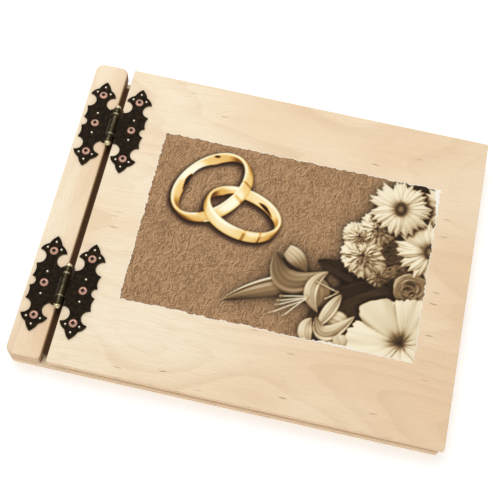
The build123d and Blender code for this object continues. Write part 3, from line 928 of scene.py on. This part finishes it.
    def stamen(self, foot, angle, length, height, shade=0.96, bow=0.8):
        """A thin filament with a blunt anther at its end."""
        u, v = self.strip(length, 1.4, 5)
        wide = 0.32 + 0.75 * smooth(u, 0.86, 0.9) * (1 - smooth(u, 0.97, 1.0))
        x, y = self.placed(length * u, v * wide + bow * u * u, foot, angle)
        rise = 0.5 * (1 - v * v)
        self.petal(x, y, height + rise, shade - 0.35 * smooth(u, 0.84, 0.88), 0.5)

    def polish(self, normal, around, section, slivers):
        """Shade of a polished band: the bright boxes and dark gaps that it mirrors.

        Each sliver is a dark reflection on the inner wall: its place round the ring,
        its half length in radians, its level on the wall and its slope.
        """
        nx, ny, nz = np.moveaxis(normal, -1, 0)
        rx, ry, rz = 2 * nz * nx, 2 * nz * ny, 2 * nz * nz - 1
        level = np.sin(section)
        inner = (np.cos(section) < -0.2).astype(float)
        glow = 0.78 + 0.17 * np.cos(np.arctan2(ry, rx) - 2.2) + 0.08 * rz
        glow = glow + 0.34 * smooth(rx * -0.5 + ry * 0.52 + rz * 0.69, 0.42, 0.96)
        glow = glow + 0.26 * smooth(rx * 0.8 - ry * 0.42 + rz * 0.42, 0.7, 0.95)
        dark = np.zeros_like(glow)
        for place, reach in ((-1.3, 0.05), (-0.86, 0.035)):
            gap = np.abs(wrapped(around - place))
            dark = np.maximum(dark, (1 - smooth(gap, reach * 0.7, reach)) * smooth(np.abs(rz), 0.95, 0.5))
        glow = glow - 0.62 * dark * (0.55 + 0.45 * inner)
        for place, reach, middle, slope in slivers:
            share = wrapped(around - place) / reach
            thin = 0.34 * np.clip(1 - share * share, 0.0, 1.0)
            off = np.abs(level - middle - slope * share)
            glow = glow - 1.1 * inner * smooth(thin - off, -0.02, 0.08) * (np.abs(share) < 1)
        glow = glow - 0.3 * inner * smooth(-level, 0.6, 0.95) - 0.4 * smooth(-rz, 0.5, 0.98)
        return np.clip(glow + 0.06 * np.sin(around * 3 + section), 0.0, 1.0)

    def ring(self, middle, radius, width, thickness, tilt, turn, height, slivers, link=0.0, link_turn=0.0):
        """A polished band, tilted from flat and turned on the print.

        link lifts it over another ring about the place link_turn.
        """
        around, section = np.meshgrid(np.linspace(0, TURN, 5200), np.linspace(0, TURN, 420),
                                      indexing="ij")
        c, s = np.cos(section), np.sin(section)
        outward = np.sign(c) * np.abs(c) ** np.where(c > 0, 0.95, 0.55) * thickness / 2
        upward = np.sign(s) * np.abs(s) ** 0.72 * width / 2
        out = radius - thickness / 2 + outward
        x, y, z = out * np.cos(around), out * np.sin(around), upward
        ct, st = math.cos(tilt), math.sin(tilt)
        y, z = y * ct + z * st, z * ct - y * st
        cw, sw = math.cos(turn), math.sin(turn)
        x, y = x * cw - y * sw, x * sw + y * cw
        glow = self.polish(self.facing(x, y, z), around, section, slivers)
        lift = link * (1 - smooth(np.abs(wrapped(around - link_turn)), 0.35, 0.6))
        self.lay(middle[0] + x, middle[1] + y, height + z + lift, glow, 1.0)

    def shades(self):
        """Tone, bloom, gold, ground shadow and ring shadow as fields of 0 to 1."""
        blur = 0.26 / self.pitch
        occlusion = np.zeros_like(self.height)
        for reach, scale, part in ((1.1, 3.0, 0.5), (3.0, 7.0, 0.42), (7.0, 13.0, 0.36)):
            rise = softened(self.height, reach / self.pitch) - self.height
            occlusion = occlusion + part * np.clip(rise / scale, 0.0, 1.0)
        deep = np.clip(1 - 1.15 * occlusion, 0.08, 1.0)
        tone = np.where(self.gold > 0.5, self.tone, 1.1 * np.clip(self.tone, 0.0, 1.0) ** 1.2 * deep)
        weight = self.bloom + self.gold
        tone = softened(tone * weight, blur) / np.maximum(softened(weight, blur), 1e-3)
        wide = softened(self.bloom, 6.0 / self.pitch)
        near = softened(np.roll(self.gold, (-4, -2), (0, 1)), 1.2 / self.pitch)
        ground = 1 - np.clip(1.15 * wide + 0.5 * softened(self.bloom, 1.8 / self.pitch), 0, 0.95)
        ground = ground * (1 - 0.92 * np.clip(near * 1.8, 0, 1))
        cast = np.roll(self.gold, (-12, -6), (0, 1))
        halo = 0.75 * softened(cast, 2.6 / self.pitch) + 0.5 * softened(self.gold, 5.0 / self.pitch)
        fields = (tone, softened(self.bloom, blur), softened(self.gold, blur), ground, halo)
        return [np.clip(field, 0, 1) for field in fields]


def compose(width, depth):
    """Two linked rings at the upper left, a bouquet down the right side."""
    art = StillLife(width, depth)
    random = np.random.default_rng(7)
    art.ring(
        middle=(-60.5, 31.5), radius=32.8, width=10.6, thickness=2.7, tilt=0.91, turn=0.9, height=24.0,
        slivers=((2.0, 0.28, -0.3, -0.3), (0.9, 0.09, 0.6, 0.1)), link=26.0, link_turn=3.55,
    )
    art.ring(
        middle=(-34.5, 15.2), radius=29.2, width=9.6, thickness=2.7, tilt=0.97, turn=-0.24, height=40.0,
        slivers=((1.0, 0.34, -0.3, 0.2), (2.1, 0.3, -0.45, -0.2)),
    )

    # Leaves and dark stems behind the flowers
    for foot, tip, half_width, height, shade, bow in (
        ((26, -8), (70, -22), 5.5, 1.5, 0.16, 2.0),
        ((40, -32), (84, -8), 6.0, 2.0, 0.24, -2.0),
        ((34, -48), (78, -18), 6.5, 3.0, 0.2, 3.0),
        ((58, -62), (52, -24), 6.0, 2.5, 0.22, 2.0),
        ((66, -60), (40, -40), 5.0, 3.0, 0.3, -1.0),
        ((30, -70), (34, -40), 4.5, 2.0, 0.26, 1.5),
        ((40, -16), (92, -12), 6.0, 2.0, 0.08, 1.0),
        ((46, -22), (74, 4), 7.0, 0.8, 0.06, 1.0),
        ((60, -14), (96, 0), 6.0, 1.0, 0.1, -1.0),
        ((56, -52), (66, -26), 7.0, 3.2, 0.34, 1.0),
        ((52, -36), (92, -22), 5.0, 3.4, 0.38, 2.0),
        ((62, 4), (44, -12), 4.0, 2.0, 0.12, 0.5),
        ((98, 66), (78, 62), 5.0, 1.5, 0.26, 1.0),
        ((70, -12), (98, -30), 6.0, 3.0, 0.18, 0.0),
    ):
        art.leaf(foot, tip, half_width, height, shade, bow)
    # The petals of two lilies, then their stamens
    for start, middle, end, half_width, height, shade, roll, span in (
        ((-34, -53), (-15, -40), (8, -31), 7.4, 5.0, 0.66, 0.3, 0.5),
        ((20, -19), (12, -9), (3, -5), 6.2, 6.0, 0.72, -0.1, 0.8),
        ((-4, -8), (2, -45), (35, -15), 8.6, 8.0, 0.56, -0.22, 1.0),
        ((22, -22), (36, -28), (31, -45), 7.5, 10.0, 0.66, 0.0, 1.0),
        ((35, -15), (17, -31), (33, -47), 4.8, 12.0, 0.84, 0.2, 1.0),
        ((47, -30), (42, -42), (36, -55), 4.6, 11.0, 0.84, 0.15, 0.9),
        ((30, -52), (23, -62), (33, -73), 5.0, 9.0, 0.9, 0.1, 1.0),
        ((38, -50), (48, -48), (57, -55), 7.5, 9.0, 0.9, 0.0, 1.0),
        ((33, -50), (38, -74), (59, -44), 5.6, 12.0, 0.78, -0.3, 1.0),
        ((50, -67), (61, -63), (62, -51), 4.2, 11.0, 0.92, 0.1, 1.0),
        ((34, -69), (47, -73), (60, -63), 4.6, 11.5, 0.98, 0.1, 1.0),
    ):
        art.blade(start, middle, end, half_width, height, shade, roll, span)
    for foot, angle, length in (
        ((24, -37), 3.31, 20), ((24, -38), 3.44, 22), ((24, -38), 3.58, 24), ((24, -39), 3.72, 30),
        ((23, -39), 4.0, 22), ((28, -24), -0.33, 18), ((36, -36), 0.62, 11),
    ):
        art.stamen(foot, angle, length, 20.0)

    art.rose((96, -15.5), 14.5, 13.0, random, 0.78)
    art.rose((77, 9.5), 12.0, 9.0, random, 0.42)
    art.pompon((84, -3), 11.0, 8.0, random, 0.66)
    art.pompon((70, -9), 10.0, 9.5, random, 0.8)
    art.pompon((64, 26), 15.0, 15.0, random, 0.96)
    art.pompon((52, 17), 13.0, 13.0, random, 0.95)
    art.pompon((57, 3), 17.5, 14.0, random, 0.97)
    art.daisy((110, 54), 22.0, 0.9, 10.0, random, 0.93)
    art.daisy((104, 17), 27.0, 0.95, 17.0, random, 0.96, 19)
    art.daisy((78.0, 46.0), 25.0, 0.98, 28.0, random, 0.99, 20)
    art.trumpet((94, -57), 36.0, 20.0, random, 0.98, 1.66)
    art.trumpet((58, -74), 15.0, 16.0, random, 0.88, 1.2)
    return art


def torn_edge(length, places, depth, random):
    """How far a torn edge stands back at each place along it."""
    share = places / length
    back = np.zeros_like(share)
    for waves, part in ((4, 0.3), (13, 0.4), (31, 0.36), (59, 0.2), (101, 0.1)):
        for _ in range(3):
            back += part / 3 * np.sin(TURN * (waves * random.uniform(0.8, 1.2) * share + random.random()))
    return depth * np.clip(0.5 + back, 0.0, 1.0)


def graded(length, step, fine, border):
    """Places from 0 to length, closer together within a border at both ends."""
    edge = np.arange(0.0, border, fine)
    middle = np.linspace(border, length - border, int((length - 2 * border) / step) + 1)
    return np.concatenate([edge, middle, length - edge[::-1]])


def picture_fields(x, y, width, depth):
    """The picture's fields at each point of the print, drawn from the raster's points."""
    art = compose(width, depth)
    spot_x = (x - width / 2) / art.pitch + art.columns / 2
    spot_y = (y - depth / 2) / art.pitch + art.rows / 2
    column, row = np.floor(spot_x).astype(int), np.floor(spot_y).astype(int)
    over, up = spot_x - column, spot_y - row

    def between(field):
        near = field[row, column] * (1 - over) + field[row, column + 1] * over
        far = field[row + 1, column] * (1 - over) + field[row + 1, column + 1] * over
        return near * (1 - up) + far * up

    return {key: between(field) for key, field in zip(FIELDS, art.shades())}


def torn_sheet(name, node, settings, material):
    """The print: a sheet with torn edges that thin out, carrying the picture's tones."""
    low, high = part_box(node)
    width, depth = (high.x - low.x) / MM, (high.y - low.y) / MM
    tear, core = settings.tear / MM, settings.core_width / MM
    random = np.random.default_rng(5)
    columns, rows = (graded(length, settings.grid / MM, 0.25, 3.0) for length in (width, depth))
    left = torn_edge(depth, rows, tear, random)
    right = width - torn_edge(depth, rows, tear * 1.2, random)
    near = torn_edge(width, columns, tear, random)
    far = depth - torn_edge(width, columns, tear, random)
    u, v = np.meshgrid(columns / width, rows / depth, indexing="ij")
    x = left[None] * (1 - u) + right[None] * u
    y = near[:, None] * (1 - v) + far[:, None] * v
    rim = np.minimum(np.minimum(x - left[None], right[None] - x),
                     np.minimum(y - near[:, None], far[:, None] - y))
    # The core shows wider on a stretch of the near edge and in a wedge at the far right corner.
    stretch = smooth(x, width - 74, width - 60) * (1 - smooth(x, width - 46, width - 38))
    bared = core * (1 + 2.2 * (1 - smooth(y, 1.5, 4.0)) * stretch)
    wedge_length = 27
    wedge = core + settings.wedge / MM * np.clip((y - depth) / wedge_length + 1, 0.0, 1.0)
    rise = (high.z - low.z) / MM * (0.3 + 0.7 * smooth(rim, 0.0, 0.8))

    quads, ring = grid(np.arange(x.size).reshape(x.shape))
    top = np.stack([x, y, rise], -1).reshape(-1, 3)
    points = np.concatenate([top, top[ring] * (1.0, 1.0, 0.0)]) * MM + np.array(low)
    feet = x.size + np.arange(len(ring))
    faces = quads.tolist() + skirt(ring, feet) + [feet[::-1].tolist()]
    piece = solid(name, points, faces, material)

    fields = picture_fields(x.ravel(), y.ravel(), width, depth)
    fields["rim"] = np.minimum(rim / bared, (right[None] - x) / wedge).ravel()
    for key, field in fields.items():
        layer = piece.data.attributes.new(key, "FLOAT", "POINT")
        layer.data.foreach_set("value", np.concatenate([field, np.zeros(len(ring))]))
    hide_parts(node)
    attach(piece, "cover")
    return piece


def printed_picture(name, picture):
    """Sepia flowers and gold rings over a creased brown ground, on torn paper."""
    finish = Finish(name)
    tone, bloom, gold, ground, halo, rim = (
        finish.node("ShaderNodeAttribute", {"attribute_name": key}, output="Fac")
        for key in (*FIELDS, "rim")
    )

    def creases(place, scale):
        """Height of a crumpled sheet: sharp valleys where a warped noise crosses its middle."""
        folds = finish.noise(place, (scale * 1.25, scale * 0.85, 0.0), 4.0, 0.62, 1.1)
        return abs(folds - 0.5).lower(0.16) * 6.2

    slope = (0.5, -0.36, 0.0)
    relief = creases(finish.place, 0.15) - creases(finish.moved(finish.place, slope), 0.15)
    fine = finish.moved(finish.place, (31.0, 17.0, 0.0))
    relief = relief + (creases(fine, 0.36) - creases(finish.moved(fine, slope), 0.36)) * 0.42
    valley = creases(finish.place, 0.15).step(0.28, 0.0) + creases(fine, 0.36).step(0.16, 0.0) * 0.4
    clouds = finish.noise(finish.place, (0.035, 0.035, 0.0), 3.0, 0.5)
    fibre = finish.noise(finish.place, (1.3, 1.3, 0.0), 3.0, 0.6)
    body = finish.mix(clouds.step(0.38, 0.66) * 0.5, picture.ground, picture.ground_cloud)
    body = finish.mix(relief.step(0.1, 0.85) * 0.7, body, picture.ground_light)
    body = finish.mix(relief.step(-0.05, -0.75) * 0.75, body, picture.ground_dark)
    body = finish.mix(valley.lower(1.0) * 0.64, body, picture.ground_dark)
    body = finish.mix((fibre - 0.5).step(0.0, 0.3) * 0.4, body, picture.ground_light)
    body = finish.mix(halo.step(0.04, 0.62) * 0.85, body, picture.halo)
    body = finish.mix(ground, picture.shadow, body)

    flowers = (tone + (fibre - 0.5) * 0.05).ramp(
        (0.0, picture.shadow),
        (0.25, picture.leaf),
        (0.5, picture.petal),
        (0.75, picture.petal_light),
        (1.0, picture.petal_white),
    )
    rings = tone.ramp(
        (0.0, picture.gold_dark),
        (0.26, picture.gold_deep),
        (0.48, picture.gold),
        (0.7, picture.gold_light),
        (0.96, picture.gold_white),
    )
    body = finish.mix(bloom, body, flowers)
    body = finish.mix(gold, body, rings)
    ragged = finish.noise(finish.place, (2.4, 2.4, 0.0), 3.0, 0.6)
    torn = (rim + (ragged - 0.5) * 1.6).step(1.12, 0.9)
    body = finish.mix(torn, body, picture.core)
    height = fibre * 0.5 + ragged * torn * 1.5
    return finish.done(
        base_color=body,
        roughness=0.62 - gold * 0.14 + torn * 0.25 + fibre * 0.06,
        normal=finish.bump(height, 0.04),
        specular_ior_level=0.12,
    )


# Studio ----------------------------------------------------------------------


def studio_floor(stage):
    """A pale, faintly mottled floor just under the book."""
    finish = Finish("studio_floor")
    mottle = finish.noise(finish.place, (0.01, 0.01, 0.01), 4.0, 0.6)
    colour = finish.mix(mottle.step(0.3, 0.8) * 0.5, stage.floor, stage.floor_cloud)
    material = finish.done(
        base_color=colour,
        roughness=0.8,
        specular_ior_level=0.1,
        emission_color=colour,
        emission_strength=stage.glow,
    )
    half, level = stage.floor_size / 2, -0.2 * MM
    corners = [(x * half, y * half, level) for x, y in ((-1, -1), (1, -1), (1, 1), (-1, 1))]
    mesh = bpy.data.meshes.new("studio_floor")
    mesh.from_pydata(corners, [], [(0, 1, 2, 3)])
    mesh.materials.append(material)
    floor = bpy.data.objects.new("studio_floor", mesh)
    bpy.context.scene.collection.objects.link(floor)


def soft_light(name, place, power, side):
    """A square area light that looks at the book."""
    light = bpy.data.lights.new(name, "AREA")
    light.shape = "SQUARE"
    light.size = side
    light.energy = power
    lamp = bpy.data.objects.new(name, light)
    lamp.location = place
    aim = Vector((0.0, 0.0, 0.01))
    lamp.rotation_euler = (Vector(place) - aim).to_track_quat("Z", "Y").to_euler()
    bpy.context.scene.collection.objects.link(lamp)


def white_room(strength):
    """Even white light from all round."""
    world = bpy.data.worlds.new("white_room")
    world.use_nodes = True
    background = world.node_tree.nodes["Background"]
    background.inputs["Color"].default_value = (1.0, 1.0, 1.0, 1.0)
    background.inputs["Strength"].default_value = strength
    bpy.context.scene.world = world
    bpy.context.scene.view_settings.view_transform = "Standard"


def front_camera():
    """The book from above its near edge, turned a little to the left."""
    lens = bpy.data.cameras.new("front_camera")
    lens.sensor_width = 36.0
    lens.lens = 75.67
    lens.clip_start = 0.01
    camera = bpy.data.objects.new("front_camera", lens)
    camera.location = (0.0286, -0.3028, 0.7103)
    turn = [math.radians(angle) for angle in (23.147, -2.464, 12.276)]
    camera.rotation_euler = Euler(turn, "XYZ")
    bpy.context.scene.collection.objects.link(camera)
    bpy.context.scene.camera = camera


# Operators -------------------------------------------------------------------


class GUESTBOOK_OT_boards(bpy.types.Operator):
    """Finish the back board, the spine strip and the front cover in birch"""

    bl_idname = "guest_book.boards"
    bl_label = "Finish Boards"

    def execute(self, context):
        wood = context.scene.guest_book.wood
        for name, along_x, shift, flecks, slot_side in (
            ("back_board", True, (410.0, 95.0, 0.0), 0.1, 0),
            ("spine_strip", False, (-230.0, 610.0, 40.0), 0.05, 1),
            ("front_cover", True, (35.0, -260.0, 80.0), 0.22, -1),
        ):
            dress(birch(name, wood, along_x, shift, flecks, slot_side), name)
        return {"FINISHED"}


class GUESTBOOK_OT_hinges(bpy.types.Operator):
    """Finish the hinge leaves, their barrels, pins and ball caps"""

    bl_idname = "guest_book.hinges"
    bl_label = "Finish Hinges"

    def execute(self, context):
        hinges = context.scene.guest_book.hinges
        bronze = black_bronze("black_bronze", hinges)
        pin = aged_brass("aged_brass_pin", hinges, 0.85)
        for end in ("tail", "head"):
            dress(bronze, f"{end}_hinge_spine_leaf", f"{end}_hinge_cover_leaf")
            dress(pin, f"{end}_hinge_pin", f"{end}_hinge_pin_cap")
        return {"FINISHED"}


class GUESTBOOK_OT_screws(bpy.types.Operator):
    """Finish the copper wood screws and the binding screws with their inserts"""

    bl_idname = "guest_book.screws"
    bl_label = "Finish Screws"

    def execute(self, context):
        hinges = context.scene.guest_book.hinges
        pages = context.scene.guest_book.pages
        for row in ("tail_hinge_spine", "tail_hinge_cover", "head_hinge_spine", "head_hinge_cover"):
            node = f"{row}_screws"
            dress(copper_plate(f"copper_{row}", hinges, node), node)
        dress(zinc_steel("zinc_steel", pages), "binding_screws")
        dress(aged_brass("insert_brass", hinges, 1.0), "binding_inserts")
        return {"FINISHED"}


class GUESTBOOK_OT_pages(bpy.types.Operator):
    """Lay in the fly leaves and the writing pages"""

    bl_idname = "guest_book.pages"
    bl_label = "Lay In Pages"

    def execute(self, context):
        pages = context.scene.guest_book.pages
        paper = sheet_paper("turning_paper", pages, False)
        card = sheet_paper("turning_card", pages, True)
        sheets("page_sheets", "front_pages", paper, "page_paper", 11, pages.sheets, pages.gap,
               pages.unevenness)
        sheets("fly_leaf_card", "fly_leaf", card, "kraft_card", 12)
        for node, is_card, count in (
            ("rear_pages", False, pages.rear_sheets),
            ("front_pages_margin", False, pages.sheets),
            ("back_fly_leaf", True, 1),
            ("fly_leaf_margin", True, 1),
        ):
            dress(sheet_paper(f"bound_{node}", pages, is_card, node, count), node)
        return {"FINISHED"}


class GUESTBOOK_OT_print(bpy.types.Operator):
    """Mount the torn-edged print of rings and flowers on the cover"""

    bl_idname = "guest_book.mount_print"
    bl_label = "Mount Print"

    def execute(self, context):
        picture = context.scene.guest_book.picture
        material = printed_picture("printed_picture", picture)
        torn_sheet("mounted_print", "cover_print", picture, material)
        return {"FINISHED"}


class GUESTBOOK_OT_stage(bpy.types.Operator):
    """Set the pale floor, the soft lights and the camera"""

    bl_idname = "guest_book.stage"
    bl_label = "Set Stage"

    def execute(self, context):
        stage = context.scene.guest_book.stage
        studio_floor(stage)
        soft_light("key_light", (-0.35, 0.55, 1.15), stage.key_power, 1.3)
        soft_light("fill_light", (0.35, -1.1, 0.3), stage.fill_power, 0.8)
        white_room(stage.sky)
        front_camera()
        return {"FINISHED"}


class GUESTBOOK_PT_panel(bpy.types.Panel):
    """Sizes, colours and steps of the guest book"""

    bl_idname = "GUESTBOOK_PT_panel"
    bl_label = "Wedding Guest Book"
    bl_space_type = "VIEW_3D"
    bl_region_type = "UI"
    bl_category = "Guest Book"

    def draw(self, context):
        settings = context.scene.guest_book
        for heading, group in (
            ("Wood", settings.wood),
            ("Hinges", settings.hinges),
            ("Pages", settings.pages),
            ("Print", settings.picture),
            ("Stage", settings.stage),
        ):
            box = self.layout.box()
            box.label(text=heading)
            for key in type(group).__annotations__:
                box.prop(group, key)
        for operator in OPERATORS:
            self.layout.operator(operator.bl_idname)


OPERATORS = (
    GUESTBOOK_OT_boards,
    GUESTBOOK_OT_hinges,
    GUESTBOOK_OT_screws,
    GUESTBOOK_OT_pages,
    GUESTBOOK_OT_print,
    GUESTBOOK_OT_stage,
)
CLASSES = (
    GuestBookWood,
    GuestBookHinges,
    GuestBookPages,
    GuestBookPrint,
    GuestBookStage,
    GuestBookSettings,
    *OPERATORS,
    GUESTBOOK_PT_panel,
)


def register():
    for entry in CLASSES:
        bpy.utils.register_class(entry)
    bpy.types.Scene.guest_book = PointerProperty(type=GuestBookSettings)


def unregister():
    del bpy.types.Scene.guest_book
    for entry in reversed(CLASSES):
        bpy.utils.unregister_class(entry)


def main():
    register()
    for operator in OPERATORS:
        group, step = operator.bl_idname.split(".")
        getattr(getattr(bpy.ops, group), step)()
    bpy.context.view_layer.update()


if __name__ == "__main__":
    main()
